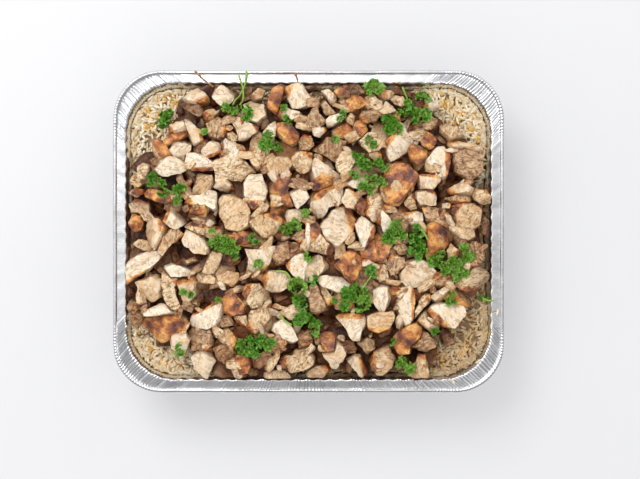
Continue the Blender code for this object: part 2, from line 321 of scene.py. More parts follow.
def makeHerbMaterial():
    material, tree, shader = newMaterial("curlyHerb")
    edge = rangeNode(tree, attributeNode(tree, "skin"), 0.1, 1.0)
    colour = mixColour(tree, edge, (0.010, 0.075, 0.004), (0.15, 0.43, 0.025))
    lift = maths(tree, "MULTIPLY_ADD", attributeNode(tree, "tone"), 0.4, 0.4)
    colour = mixColour(tree, lift, colour, (0.32, 0.52, 0.075))
    veins, height = placeGroup(tree, grainGroup, attributeNode(tree, "grainMm", "Vector"), 1.4, 0.75, 1.1)
    grey = addNode(tree, "CombineColor", {}, {0: veins, 1: veins, 2: veins})
    plugAll(tree, shader, {
        "Base Color": mixColour(tree, 1.0, colour, grey, "MULTIPLY"),
        "Roughness": 0.42, "Normal": bumpNode(tree, height, 0.5, 0.0004),
        "Subsurface Weight": 0.15, "Subsurface Radius": (0.3, 1.0, 0.2), "Subsurface Scale": 0.001,
    })
    return material


def makeFoilMaterial():
    material, tree, shader = newMaterial("pressedFoil")
    place = addNode(tree, "TexCoord", {}, {}, "Object")
    tint = placeGroup(tree, grainGroup, place, 0.012, 0.0, 1.0)["Grain"]
    brushed = placeGroup(tree, grainGroup, scaledVector(tree, place, (1.0, 26.0, 1.0)), 0.03, 0.0, 1.0)["Height"]
    dimples = placeGroup(tree, grainGroup, place, 0.0045, 0.0, 1.0)["Height"]
    plugAll(tree, shader, {
        "Base Color": mixColour(tree, tint, (0.80, 0.80, 0.82), (0.90, 0.90, 0.91)),
        "Roughness": placeGroup(tree, grainGroup, place, 0.020, 0.17, 0.32)["Grain"], "Metallic": 1.0,
        "Normal": bumpNode(tree, maths(tree, "ADD", times(tree, brushed, 0.25), dimples), 0.35, 0.0006),
    })
    return material


meatMaterials = {name: makeMeatMaterial(name, look) for name, look in meatLooks.items()}
riceMaterial = makeRiceMaterial("cookedRice", (0.98, 0.88, 0.68), (0.78, 0.53, 0.25), 0.34)
toastMaterial = makeRiceMaterial("toastedBits", (0.90, 0.56, 0.14), (0.46, 0.18, 0.04), 0.34)
# the core seen between the grains is a darker copy of the rice colour: painted shade
riceCoreMaterial = makeRiceMaterial("riceInShade", (0.58, 0.40, 0.22), (0.34, 0.20, 0.09), 0.50)
herbMaterial = makeHerbMaterial()
foilMaterial = makeFoilMaterial()
print("materials made")


# Foil tray: one pressed sheet with ribbed walls, fluted corners and a rolled rim

foilTray = {
    "rimWidth": 0.012, "rimCorner": 0.040, "mouthCorner": 0.041, "rollRadius": 0.0017, "rollSlack": 0.0005,
    "wallSlope": 0.26, "heelRadius": 0.008, "heelCorner": 0.032, "thickness": 0.00025,
    "fineStep": 0.00048, "frontStep": 0.00085, "plainStep": 0.0022, "cornerReach": 0.016,
    "flutePitch": 0.0025, "fluteHeight": 0.00062, "rippleHeight": 0.00012,
    "ribPitch": 0.0105, "ribHeight": 0.0007, "dentHeight": 0.0005,
}
mouthLong = halfLong - foilTray["rimWidth"]
mouthShort = halfShort - foilTray["rimWidth"]


def wallInset(height):
    return foilTray["wallSlope"] * (rimHeight - height)


def traySpots():
    # (corner, angle) on the round corners and (corner, share) on the straight side after each
    radius, fine = foilTray["rimCorner"], foilTray["fineStep"]
    arc = radius * math.pi / 2
    steps = round(arc / fine)
    spots = []
    run = 0.0
    for corner in range(4):
        for step in range(steps):
            angle = math.radians(90 * corner) + math.pi / 2 * step / steps
            spots.append(("arc", corner, angle, run + arc * step / steps))
        run += arc
        side = 2 * ((halfShort if corner % 2 else halfLong) - radius)
        coarse = foilTray["frontStep"] if corner == 2 else foilTray["plainStep"]
        along = 0.0
        while along < side - fine / 2:
            spots.append(("side", corner, along / side, run + along))
            along += fine if min(along, side - along) < foilTray["cornerReach"] else coarse
        run += side
    return spots


def spotPlace(spot, out, radius):
    # the place this far out from the mouth, and the direction away from the tray
    kind, corner, value, _ = spot
    middles = [Vector((signX * (mouthLong + out - radius), signY * (mouthShort + out - radius)))
               for signX, signY in ((1, 1), (-1, 1), (-1, -1), (1, -1))]
    if kind == "arc":
        away = Vector((math.cos(value), math.sin(value)))
        return middles[corner] + away * radius, away
    turn = math.radians(90 * corner + 90)
    away = Vector((round(math.cos(turn)), round(math.sin(turn))))
    return (middles[corner] + away * radius).lerp(middles[(corner + 1) % 4] + away * radius, value), away


def trayProfile():
    # each level: distance out from the mouth, height, corner radius, weights of flutes (out, up), ribs and dents
    roll, heel, sheet = foilTray["rollRadius"], foilTray["heelRadius"], foilTray["thickness"]
    mouth, foot = foilTray["mouthCorner"], foilTray["heelCorner"]
    width = foilTray["rimWidth"] - foilTray["rollSlack"]
    levels = []
    flatOut = -wallInset(heel) - heel
    for inward, sunk in ((0.060, 0.0010), (0.030, 0.0010), (0.012, 0.0010), (0.010, 0.0010), (0.008, 0.0), (0.0, 0.0)):
        levels.append((flatOut - inward, sheet + sunk, foot - heel, 0, 0, 0, 0))
    for degrees in (35, 65, 90):
        turn = math.radians(degrees)
        out = -wallInset(heel) - heel * (1 - math.sin(turn))
        levels.append((out, heel * (1 - math.cos(turn)) + sheet, foot - heel * 0.2, 0, 0, 0.4, 0.3))
    for share in (0.10, 0.22, 0.36, 0.50, 0.64, 0.76, 0.86, 0.93):
        height = heel + (rimHeight - heel) * share
        calm = 1 - 0.65 * ease(0.55, 0.80, share)
        levels.append((-wallInset(height), height, foot + (mouth - foot) * share, 0.25 + 0.25 * share, 0, calm, calm))
    for out, down, flute, ribs in ((0.0, 0.0022, 0.6, 0.7), (0.0006, 0.0009, 0.5, 0.6), (0.0013, 0.00040, 0.5, 0.5),
                                   (0.0021, 0.00048, 0.8, 0.4), (0.0034, 0.00070, 1.0, 0.2), (0.0050, 0.00096, 1.0, 0),
                                   (0.0066, 0.00120, 1.0, 0), (0.0079, 0.00135, 0.8, 0), (0.0085, 0.00122, 0.6, 0)):
        radius = mouth + (foilTray["rimCorner"] - mouth) * out / width - out * 0.15
        levels.append((out, rimHeight - down, radius, 0.0 if out else 0.5, flute, ribs, 0.4))
    for degrees in (132, 108, 84, 60, 30, 0, -30, -65, -100, -150):
        turn = math.radians(degrees)
        inset = roll * (1 - math.cos(turn))
        levels.append((width - inset, rimHeight - roll * (1 - math.sin(turn)), foilTray["rimCorner"] - inset,
                       0.25, 0.42 if degrees > 0 else 0.25, 0, 0.4))
    return levels


def fluteAt(spot):
    # the crimped flutes: full at the corners, faint along the sides, stronger again on the front
    kind, corner, share, run = spot
    full = foilTray["fluteHeight"]
    phase = run / foilTray["flutePitch"] + roughAt(run * 90, 0.0, 5.0) * 0.6
    wave = math.sin(2 * math.pi * phase) * 0.8 + 0.35 * math.sin(4 * math.pi * phase + 1.0)
    height = full
    if kind == "side":
        sideLength = 2 * ((halfShort if corner % 2 else halfLong) - foilTray["rimCorner"])
        plain = foilTray["rippleHeight"] * (1.0 + 1.2 * roughAt(run * 30, 9.0, 2.0))
        if corner == 2:
            plain += full * 0.65 * ease(0.20, 0.55, share)
        fromEnd = min(share, 1 - share) * sideLength
        height = plain + (full - plain) * (1 - ease(0.004, foilTray["cornerReach"], fromEnd))
    return wave * (1.0 + 0.7 * roughAt(run * 260, 3.0, 1.0)) * height


def makeFoilTray():
    spots = traySpots()
    levels = trayProfile()
    flutes = [fluteAt(spot) for spot in spots]
    points = []
    for out, height, radius, fluteOut, fluteUp, ribs, dents in levels:
        for spot, flute in zip(spots, flutes):
            (x, y), away = spotPlace(spot, out, radius)
            ribWave = math.cos(2 * math.pi * spot[3] / foilTray["ribPitch"] + 2.0 * roughAt(spot[3] * 12, 0, 8))
            sway = roughAt(x * 26, y * 26, height * 30) + 0.5 * roughAt(x * 90, y * 90, height * 80)
            push = flute * fluteOut + ribWave * foilTray["ribHeight"] * ribs * (1.0 if spot[0] == "side" else 0.6)
            push += sway * foilTray["dentHeight"] * dents
            lift = flute * fluteUp + (sway * foilTray["dentHeight"] * 0.35 if fluteUp else 0.0)
            points.append((x + away.x * push, y + away.y * push, height + lift))
    faces = [list(range(len(spots)))[::-1]] + ringFaces(len(levels), len(spots))
    piece = meshPiece("pressedTray", points, faces, foilMaterial, 60)
    sheet = piece.modifiers.new("sheet thickness", "SOLIDIFY")
    sheet.thickness = foilTray["thickness"]
    sheet.offset = -1.0
    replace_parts(piece, "foil_tray")
    print("tray made", len(faces), "faces")


makeFoilTray()


# Rice: a core with relief, and loose grains and toasted bits where it shows

riceBed = {
    "level": 0.0535, "underHeap": 0.0525, "roughness": 0.0011, "coreDrop": 0.0016,
    "corners": {
        (-1, 1): {"cut": (0.050, 0.084), "rise": 0.0030, "tone": 0.3, "shade": 0.0},
        (1, 1): {"cut": (0.062, 0.080), "rise": 0.0035, "tone": 0.15, "shade": 0.0},
        (1, -1): {"cut": (0.066, 0.092), "rise": 0.0065, "tone": -0.4, "shade": 0.45},
        (-1, -1): {"cut": (0.074, 0.062), "rise": 0.0030, "tone": -0.1, "shade": 0.05},
    },
    # how many of each, and the ranges of their length and width
    "grains": 2000, "wallGrains": 600, "grain": ((0.0055, 0.0078), (0.0011, 0.0014)),
    "spilled": ((0.0048, 0.0062), (0.0007, 0.0009)), "golden": ((0.0034, 0.0066), (0.0010, 0.0018)),
    "toasted": 300, "toastedBit": ((0.0030, 0.0062), (0.0009, 0.0017)),
    # rise and shade of the three layers of grains, lowest first
    "layerRise": 0.0009, "layerShade": (0.36, 0.06, 0.0), "seed": 5,
    # below this cut the rice lies bare
    "bareCut": 1.12, "wallGap": 0.0005, "coreGap": 0.0006, "wallRise": 0.0014,
    # the core's walls: height and distance in from the foil
    "coreWall": ((0.0022, 0.010), (0.010, 0.0030), (0.030, 0.0022), (0.050, 0.0022)),
}


def cornerCut(x, y):
    # under 1 in the bare corners of the tray, and the look of the rice there
    corner = riceBed["corners"][(1 if x > 0 else -1, 1 if y > 0 else -1)]
    return (mouthLong - abs(x)) / corner["cut"][0] + (mouthShort - abs(y)) / corner["cut"][1], corner


def riceLevel(x, y):
    cut, corner = cornerCut(x, y)
    level = riceBed["underHeap"] + (riceBed["level"] - riceBed["underHeap"]) * (1 - ease(1.0, 1.4, cut))
    level += corner["rise"] * (1 - ease(0.55, 1.15, cut))
    return level + roughAt(x * 70, y * 70, 1.0) * riceBed["roughness"]


def insideMouth(x, y, height, margin):
    # how far a point lies inside the wall at this height, less the margin
    inset = wallInset(height) + margin
    radius = foilTray["mouthCorner"] - margin
    overX = abs(x) - (mouthLong - inset - radius)
    overY = abs(y) - (mouthShort - inset - radius)
    return radius - (math.hypot(max(overX, 0), max(overY, 0)) + min(max(overX, overY), 0))


def keepInTray(points, margin, above=0.0002):
    # what lies lower than this above the rim stays inside the wall
    inset = foilTray["wallSlope"] * np.maximum(rimHeight - points[:, 2], 0.0) + margin
    radius = foilTray["mouthCorner"] - margin
    over = [np.abs(points[:, 0]) - (mouthLong - inset - radius), np.abs(points[:, 1]) - (mouthShort - inset - radius)]
    low = points[:, 2] < rimHeight + above
    reach = np.maximum(np.hypot(*over), 1e-9)
    atCorner = low & (over[0] > 0) & (over[1] > 0) & (reach > radius)
    share = np.where(atCorner, 1 - radius / reach, 0.0)
    for axis in (0, 1):
        straight = np.where(low & (over[axis] > radius), over[axis] - radius, 0.0)
        points[:, axis] -= np.sign(points[:, axis]) * np.where(atCorner, over[axis] * share, straight)


def makeRiceCore():
    spots = traySpots()[::4]
    corner, gap = foilTray["mouthCorner"], riceBed["coreGap"]
    shares = [1.0 - 0.012 * step for step in range(34)] + [0.56, 0.5, 0.42, 0.32, 0.2, 0.08]
    points = []
    for height, inset in riceBed["coreWall"]:
        points += [(*spotPlace(spot, -wallInset(height) - inset, corner)[0], height) for spot in spots]
    for share in shares:
        for spot in spots:
            x, y = spotPlace(spot, -wallInset(riceBed["level"]) - gap, corner)[0]
            place = spotPlace(spot, -wallInset(riceLevel(x, y) - riceBed["coreDrop"]) - gap, corner)[0]
            x, y = place.x * share, place.y * share
            lumps = roughAt(x * 320, y * 320, 4.0) * 0.0010 + riceBed["wallRise"] * max(0.0, 1 - (1 - share) / 0.03)
            points.append((x, y, riceLevel(x, y) - riceBed["coreDrop"] + lumps))
    count = len(spots)
    rings = len(points) // count
    top = [(rings - 1) * count + index for index in range(count)]
    faces = [list(range(count))[::-1]] + ringFaces(rings, count) + [top]
    piece = meshPiece("riceCore", points, faces, riceCoreMaterial)
    setLayer(piece, "tone", "FLOAT", [noise.noise(Vector(point) * 90) for point in points])
    setLayer(piece, "grainMm", "FLOAT_VECTOR", (np.array(points) * 1000).ravel())


def grainShape(sides=6, rings=6):
    # a unit grain along X, pointed at both ends
    points = [(-1.0, 0.0, 0.0)]
    for ring in range(1, rings):
        x = -math.cos(math.pi * ring / rings)
        size = (1 - abs(x) ** 2.6) ** 0.5
        for side in range(sides):
            turn = 2 * math.pi * side / sides
            points.append((x, math.cos(turn) * size, math.sin(turn) * size))
    points.append((1.0, 0.0, 0.0))
    faces = []
    for side in range(sides):
        following = (side + 1) % sides
        faces.append((0, 1 + following, 1 + side))
        for ring in range(rings - 2):
            low = 1 + ring * sides
            faces.append((low + side, low + following, low + sides + following, low + sides + side))
        last = 1 + (rings - 2) * sides
        faces.append((len(points) - 1, last + side, last + following))
    return np.array(points), faces


class Heap:
    # many small shapes joined in one mesh, with their own texture place, tone, browning and shade
    def __init__(self):
        self.parts = []
        self.faces = []
        self.count = 0

    def add(self, points, faces, local, tone, skin=0.0, low=0.0):
        flat = np.zeros(len(points))
        self.parts.append((points, local, flat + tone, flat + skin, flat + low))
        self.faces += [tuple(index + self.count for index in face) for face in faces]
        self.count += len(points)

    def build(self, name, slot, material, smoothAngle=None, gapShadeAt=None):
        points, local, tone, skin, low = (np.concatenate(column) for column in zip(*self.parts))
        piece = meshPiece(name, points, self.faces, material, smoothAngle)
        setLayer(piece, "grainMm", "FLOAT_VECTOR", local.ravel())
        setLayer(piece, "tone", "FLOAT", tone)
        setLayer(piece, "skin", "FLOAT", skin)
        setLayer(piece, "deep", "FLOAT", np.maximum(low, gapShadeAt(points)) if gapShadeAt else low)
        print(name, self.count, "points")
        return piece


def turned(points, yaw, pitch=0.0, roll=0.0):
    spin = Matrix.Rotation(yaw, 3, "Z") @ Matrix.Rotation(pitch, 3, "Y") @ Matrix.Rotation(roll, 3, "X")
    return points @ np.array(spin).T


def addGrain(heap, chance, place, ranges, tone, lean, turn=None, shade=0.0):
    points, faces = riceShape
    long = chance.uniform(*ranges[0]) / 2
    wide = chance.uniform(*ranges[1])
    sized = points * np.array([long, wide, wide * chance.uniform(0.8, 1.0)])
    sized[:, 1] += chance.uniform(-0.22, 0.22) * long * (1 - points[:, 0] ** 2)
    local = sized * 1000 + np.array([chance.uniform(-400, 400) for _ in range(3)])
    turn = chance.uniform(0, math.pi) if turn is None else turn
    laid = turned(sized, turn, chance.uniform(-lean, lean), chance.uniform(0, math.pi)) + np.array(place)
    keepInTray(laid, riceBed["wallGap"])
    heap.add(laid, faces, local, tone, 0.0, shade)


def ricePlaces(chance, count):
    # more where the corners are bare, fewer along the walls
    places = []
    while len(places) < count:
        x = chance.uniform(-mouthLong, mouthLong)
        y = chance.uniform(-mouthShort, mouthShort)
        level = riceLevel(x, y)
        inside = insideMouth(x, y, level, 0.0012)
        if inside < 0:
            continue
        keep = 1.0 if cornerCut(x, y)[0] < riceBed["bareCut"] else (0.35 if inside < 0.013 else 0.0)
        if chance.random() < keep:
            places.append((x, y, level))
    return places


def wallPlaces(chance, count):
    # places right along the wall where the rice shows
    spots = traySpots()
    places = []
    while len(places) < count:
        spot = chance.choice(spots)
        inset = wallInset(riceBed["level"]) + chance.uniform(0.0002, 0.0036)
        place, away = spotPlace(spot, -inset, foilTray["mouthCorner"] - inset)
        if cornerCut(place.x, place.y)[0] < riceBed["bareCut"] or chance.random() < 0.12:
            places.append((place.x, place.y, riceLevel(place.x, place.y), math.atan2(away.x, -away.y)))
    return places


# grains spilled on the rim, as photo pixels and turns in degrees
spilledGrains = [(453, 381, -60), (478, 361, 35), (497, 312, 80), (398, 82, 15), (136, 333, 70)]
# golden clumps in the rice, as photo pixels and their spread
goldenClumps = [(170, 97, 4), (203, 88, 4), (149, 108, 3), (150, 125, 5), (154, 131, 3), (176, 103, 3), (447, 108, 5),
                (458, 117, 5), (452, 126, 4), (470, 128, 4), (441, 102, 4), (478, 140, 3), (484, 330, 4), (462, 352, 4),
                (150, 345, 4), (165, 362, 4), (172, 377, 3)]


def makeRice():
    chance = random.Random(riceBed["seed"])
    grains = Heap()
    for index, (x, y, level) in enumerate(ricePlaces(chance, riceBed["grains"])):
        layer = index % 3
        height = level - 0.0007 + layer * riceBed["layerRise"] + chance.uniform(-0.0003, 0.0006)
        corner = cornerCut(x, y)[1]
        tone = corner["tone"] + chance.uniform(-0.7, 0.8)
        addGrain(grains, chance, (x, y, height), riceBed["grain"], tone, 0.25 + 0.25 * (layer == 2), None,
                 corner["shade"] + riceBed["layerShade"][layer])
    for x, y, level, along in wallPlaces(chance, riceBed["wallGrains"]):
        addGrain(grains, chance, (x, y, level + chance.uniform(0.0, 0.0024)), riceBed["grain"],
                 chance.uniform(-0.7, 0.5), 0.25, along + chance.uniform(-1.3, 1.3),
                 cornerCut(x, y)[1]["shade"] + chance.uniform(0.0, 0.3))
    for px, py, turn in spilledGrains:
        addGrain(grains, chance, (*fromPhoto(px, py), rimHeight + 0.0011), riceBed["spilled"],
                 chance.uniform(0.2, 1.0), 0.02, math.radians(turn))
    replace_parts(grains.build("riceGrains", "rice", riceMaterial), "rice_bed")
    toasted = Heap()
    for x, y, level in ricePlaces(chance, riceBed["toasted"]):
        if roughAt(x * 45, y * 45, 6.0) >= -0.05:
            addGrain(toasted, chance, (x, y, level + chance.uniform(0.0, 0.0012)),
                     riceBed["toastedBit"], chance.uniform(-1.0, 1.0), 0.5)
    for px, py, spread in goldenClumps:
        for _ in range(3 * spread):
            x, y = fromPhoto(px + chance.gauss(0, 0.6 * spread), py + chance.gauss(0, 0.6 * spread), riceBed["level"])
            addGrain(toasted, chance, (x, y, riceLevel(x, y) + chance.uniform(-0.0002, 0.0010)),
                     riceBed["golden"], chance.uniform(-0.2, 1.0), 0.5)
    toasted.build("toastedBits", "rice", toastMaterial)


riceShape = grainShape()
makeRiceCore()
makeRice()
print("rice made")


# Chicken: chunks dropped on each other from the bottom up, the visible ones where the photo shows them

# Each piece ends with a semicolon, and has its browned side last: a direction in degrees, "top" or "char".
# Lower pieces: the middle, then the length, width and turn, in photo pixels and degrees
lowChunks = {
    "dark": """
    444,278 22,16,10; 145,305 16,15,40; 136,309 10,14,0; 137,319 10,12,10; 261,359 20,14,20; 306,338 16,15,0;
    226,352 18,20,30; 344,345 22,14,0; 297,250 20,14,0; 475,255 14,18,0""",
    "brown": """
    368,116 15,13,0; 374,115 12,12,0; 420,126 14,10,0; 278,342 14,18,0; 342,300 18,16,0; 400,223 16,18,0; 226,322
    14,10,20; 448,338 11,17,30""",
    "seared": """
    395,117 13,9,0 top; 244,239 16,14,0 top; 233,240 20,14,0 top; 243,365 14,19,0 top; 196,213 22,10,0 top""",
    "gold": """
    369,250 19,21,0 top""",
    "tan": """
    238,367 14,18,20 0; 174,205 16,14,0; 230,167 29,24,10; 432,359 13,14,0; 418,134 14,9,0; 375,204 16,20,0 180;
    206,278 17,11,0""",
    "pale": """
    150,174 16,16,0""",
}
# Pieces that show whole: their outlines in photo pixels
outlinedChunks = {
    "dark": """
    149,161 155,155 161,160 160,164 153,166; 389,290 393,286 400,287 399,293 391,294 top""",
    "brown": """
    193,150 197,141 206,139 212,143 203,148 200,154; 184,108 193,104 201,105 204,113 201,117 187,111; 206,124
    210,120 218,117 226,123 226,133 218,139 209,136 0; 305,123 313,108 316,102 319,113 326,121 320,127 309,131
    306,128; 340,101 352,96 362,95 365,102 361,108 345,112 top; 313,150 327,137 340,138 347,139 343,151 336,162
    326,155; 424,123 432,118 438,119 435,126 428,130 424,129; 454,154 466,148 479,148 482,157 481,173 468,180
    456,171; 277,247 288,241 290,259 277,265 272,258; 355,203 361,196 368,203 364,215 358,211 char; 291,238
    299,230 305,230 306,239 299,243; 443,198 460,196 470,197 471,202 453,203; 423,209 432,206 440,209 439,219
    427,221; 481,225 483,215 489,220 488,236 482,234; 465,245 477,242 483,249 485,260 478,265 477,255; 393,248
    399,243 408,247 408,254 399,254; 385,264 393,254 405,257 404,266 397,274 388,271; 188,333 192,329 213,331
    212,348 205,352 193,352 191,343; 308,292 311,285 317,285 321,294 327,307 317,313 311,311; 273,340 285,345
    286,350 280,354 274,348; 413,346 424,333 432,340 434,346 425,352""",
    "gold": """
    275,123 281,121 292,127 299,133 297,142 291,146 283,141 277,133 top; 320,105 325,101 331,108 336,113 326,115
    322,111; 334,93 341,89 348,91 350,96 342,96 top; 332,133 340,127 348,123 353,132 343,137 336,137 top; 265,165
    268,158 278,156 288,157 292,163 288,171 278,171 270,175; 218,203 221,196 233,196 245,201 249,212 248,227
    237,232 225,228 220,216; 249,217 261,203 269,205 266,211 254,218; 449,226 460,226 475,227 475,237 469,242
    461,238 453,232; 264,369 273,356 277,352 280,354 274,366 268,373; 263,373 277,369 288,374 291,379 280,381
    268,379; 306,374 316,367 326,365 330,370 323,377 309,378""",
    "tan": """
    138,169 143,164 149,165 148,176 143,180 138,175; 203,113 210,109 218,112 222,109 212,119 205,119; 226,133
    231,131 237,135 236,141 231,142; 249,151 251,133 260,131 263,139 266,154 265,164 256,169 251,161; 231,161
    235,158 245,161 255,171 249,176 240,180 230,179; 299,143 303,135 311,136 313,145 309,150 300,150 90; 364,96
    375,96 375,109 367,111 365,104; 346,116 351,112 355,116 353,123 348,121; 336,163 342,152 352,152 355,161
    350,171 342,176 337,170; 359,141 369,133 378,133 379,149 369,152 362,145; 291,158 295,152 305,151 312,152
    311,163 308,170 300,173 293,167; 380,94 385,90 393,91 393,96 387,97 382,97; 389,97 395,96 403,97 408,105
    401,108 394,105; 439,125 458,127 461,136 450,142 441,134; 132,175 140,175 142,184 139,186 131,183; 129,205
    136,199 150,203 151,214 162,220 148,222 142,214 132,213; 132,244 140,239 149,242 151,250 144,250 138,246;
    156,251 162,237 169,230 177,227 183,234 175,242 170,243 161,256 -30; 185,227 193,222 205,225 217,227 222,237
    210,239 201,234 70; 191,195 194,184 197,175 212,175 212,187 205,195; 201,273 206,261 211,252 222,254 218,265
    213,274 206,274; 184,261 194,257 197,261 187,265; 161,271 165,273 172,281 176,297 181,308 175,311 169,308
    162,294; 240,199 245,201 249,211 249,223 240,228; 249,221 257,215 274,212 283,221 277,230 269,238 260,235
    252,228 60; 307,250 320,235 334,249 330,255 316,252 -20; 313,189 314,178 322,172 333,177 331,185 317,190 top;
    405,202 409,196 415,193 417,208 413,210 406,205; 473,194 475,189 485,190 490,197 490,204 481,204 473,199;
    449,252 452,245 459,252 459,258 450,260; 378,270 382,263 387,268 389,280 379,282; 454,281 465,271 478,266
    490,273 489,283 473,291 459,288; 450,209 459,202 471,203 482,208 481,224 477,228 459,226 455,216 150; 234,317
    245,316 248,328 237,323; 214,335 226,329 232,334 238,342 232,353 225,348 0; 280,312 286,308 295,305 305,310
    302,317 292,320 285,317; 319,286 325,288 334,304 326,305 322,296; 240,294 244,285 259,285 268,293 271,302
    257,308 251,311 245,302; 245,331 249,316 251,311 269,306 271,317 264,327 257,334 250,335; 279,360 285,354
    292,354 295,349 305,348 314,357 313,365 304,369 292,372 283,367; 358,342 367,336 375,339 374,348 367,353;
    418,319 428,312 432,319 439,326 434,336 427,328; 370,363 374,351 388,347 395,357 392,366 385,372 378,375
    373,369; 408,369 416,361 418,354 425,354 428,368 429,377 420,378 408,376; 415,312 420,304 425,296 432,294
    431,301 423,310 416,319""",
    "seared": """
    155,140 163,143 168,149 172,157 161,160 156,152 char; 163,142 174,134 183,130 190,135 181,141 175,143 167,148
        top; 274,88 281,84 285,89 282,97 277,113 267,107 268,101 char; 251,95 257,89 265,92 262,99 255,101; 353,123
    357,120 367,121 367,130 361,137 353,133 top; 421,139 427,131 436,137 435,144 431,149 424,146 char; 408,148
    416,144 428,151 427,156 420,164 412,160 top; 128,193 135,188 142,190 143,193 135,196 top; 129,223 134,216
    143,215 145,223 143,230 135,231 char; 142,195 149,189 158,190 170,195 173,201 163,203 151,198 top; 217,277
    226,272 239,273 238,282 231,286 218,283; 269,190 278,175 285,176 292,180 287,190 293,207 281,203 270,195 char;
    336,266 343,255 353,249 363,258 361,271 355,283 345,277 top; 310,219 314,220 320,226 321,235 311,246 top;
    370,244 378,235 393,245 390,255 382,264 369,258 top; 428,226 432,221 441,222 448,232 449,245 441,254 434,262
    425,257 428,245 top; 221,301 228,292 235,294 245,306 244,315 232,317 224,312 top; 142,317 152,317 172,315
    179,317 187,323 187,329 175,331 173,338 163,342 156,338 147,329 142,323 top; 320,336 326,333 336,335 336,352
    328,354 321,345 char; 367,317 374,313 386,313 394,311 395,317 390,330 378,334 369,331 -90; 398,331 406,328
    417,322 422,328 420,338 412,345 411,353 400,354 395,347 394,337 top; 445,295 453,287 474,307 466,307 456,304
    447,300 top""",
    "pale": """
    168,132 174,125 182,120 187,128 183,132 170,137; 169,150 175,144 186,142 193,144 192,150 187,153 185,160
    177,158; 183,118 188,120 200,130 202,139 193,145 187,130; 183,98 193,90 197,88 207,96 210,100 200,105 187,103;
    215,89 220,85 229,90 234,95 233,100 225,107 217,102 212,97; 229,120 237,117 245,119 245,133 239,139 235,128;
    201,152 204,147 212,141 218,144 222,152 213,157 207,158; 240,121 245,121 256,128 255,132 248,138 238,139;
    243,105 250,100 264,105 266,116 257,123 249,120 245,111; 278,116 283,105 291,110 301,113 299,118 292,121
    288,117 281,120 180; 321,93 329,90 335,96 335,102 330,104 326,97; 313,158 317,158 333,170 342,176 339,183
    314,183 311,171; 370,97 375,97 382,102 382,108 375,111 370,107; 378,112 386,102 391,106 396,112 391,115
    383,116; 449,143 456,140 469,145 482,148 482,152 466,148 453,149; 163,219 170,204 175,212 179,218 185,223
    177,227 169,223; 145,232 148,221 161,218 167,226 163,237 158,246 154,250 150,243; 183,238 186,230 190,229
    201,235 209,245 208,253 198,252 187,246; 213,185 216,178 225,177 234,189 233,192 221,191; 137,281 149,277
    158,276 162,283 161,297 152,302 144,296; 178,281 187,280 194,275 196,278 194,289 196,294 189,303 184,300 90;
    286,217 288,210 300,209 307,215 300,223 288,223; 342,201 348,189 355,191 360,197 355,209 347,208; 366,213
    369,207 375,206 378,220 373,221; 308,263 317,256 323,258 327,266 324,272 313,283 306,282 305,272; 261,277
    268,271 283,272 290,278 288,288 279,292 271,292 265,289 180; 245,249 259,250 276,246 272,260 265,271 256,277
    248,271 249,259; 320,227 331,212 340,207 351,209 355,220 353,230 343,242 336,248 325,239 20; 418,175 438,175
    440,180 432,189 420,189; 448,191 458,187 465,181 473,189 471,194 461,196 452,196 200; 416,192 432,189 437,197
    436,206 427,206 420,204 416,198; 400,274 408,262 420,259 431,263 438,274 432,281 420,286 408,288 401,281;
    172,338 175,333 186,332 190,339 187,350 184,360 179,354 172,346; 192,353 205,350 212,353 216,360 211,369
    208,377 202,373 195,365; 347,360 354,354 361,356 364,365 368,374 361,377 355,369; 322,353 336,350 336,342
    342,345 345,352 342,360 336,368 331,367; 432,300 441,293 450,286 453,288 447,297 438,302""",
    "white": """
    185,161 187,152 195,152 205,156 218,164 212,170 193,171 187,165 -90; 218,151 222,144 225,138 231,141 242,145
    237,157 227,160 220,163; 156,170 165,159 171,158 181,160 187,164 188,171 170,176 162,176; 262,132 268,125
    275,121 276,136 269,136; 326,121 331,117 339,114 346,116 341,121 333,126 327,127; 311,127 319,125 327,128
    320,137 314,134; 285,90 292,86 300,83 306,91 312,100 309,107 300,109 292,109 288,97 160; 424,106 431,102
    436,101 439,110 432,112 425,111 180; 424,161 436,147 444,146 450,154 449,164 447,177 436,178 431,167 0;
    384,142 391,134 396,122 400,121 408,132 414,142 408,151 391,161 388,157 140; 184,203 187,197 200,196 209,189
    215,192 215,211 210,210 205,206 196,207; 163,267 172,265 190,270 189,275 179,277 170,277; 126,264 138,255
    147,251 155,251 161,256 156,262 146,271 136,277 126,285 125,271 -60; 346,184 359,176 369,180 365,185 355,189;
    288,265 295,257 305,254 308,261 305,272 304,283 295,277 180; 317,279 326,276 342,278 351,286 340,295 331,291
    321,287; 289,193 303,184 309,196 296,208; 243,184 248,176 262,175 266,192 264,199 260,205 252,209 245,202 -90;
    309,202 314,192 330,186 341,179 343,190 341,203 327,206 325,214 320,219 313,212 120; 355,224 363,216 375,227
    374,239 363,248 359,237; 306,221 310,219 311,235 310,247 307,250; 402,218 406,212 416,211 423,214 422,225
    415,225 408,222 120; 379,216 382,208 392,218 393,229 386,235 381,225; 142,314 151,308 159,304 163,305 173,314
    165,315 152,317 144,317; 190,321 192,315 202,312 212,305 218,300 223,305 221,317 217,326 209,329 198,329
    190,326 120; 272,331 274,324 281,320 287,323 291,329 297,342 290,343 279,339; 336,317 342,312 359,313 367,321
    362,332 360,340 353,340 347,329 90; 374,291 380,286 389,287 390,299 385,312 380,312 374,301; 396,305 401,297
    405,286 412,287 416,298 413,313 414,320 407,327 401,319 0; 428,312 432,306 440,303 456,304 465,307 465,316
    459,324 454,329 444,327 433,319""",
}
# The big browned piece right of the middle lies on top of all
crownChunks = {"seared": """381,188 385,175 386,168 396,162 406,163 413,168 419,177 415,184 406,196 400,204
    391,205 383,200 top"""}
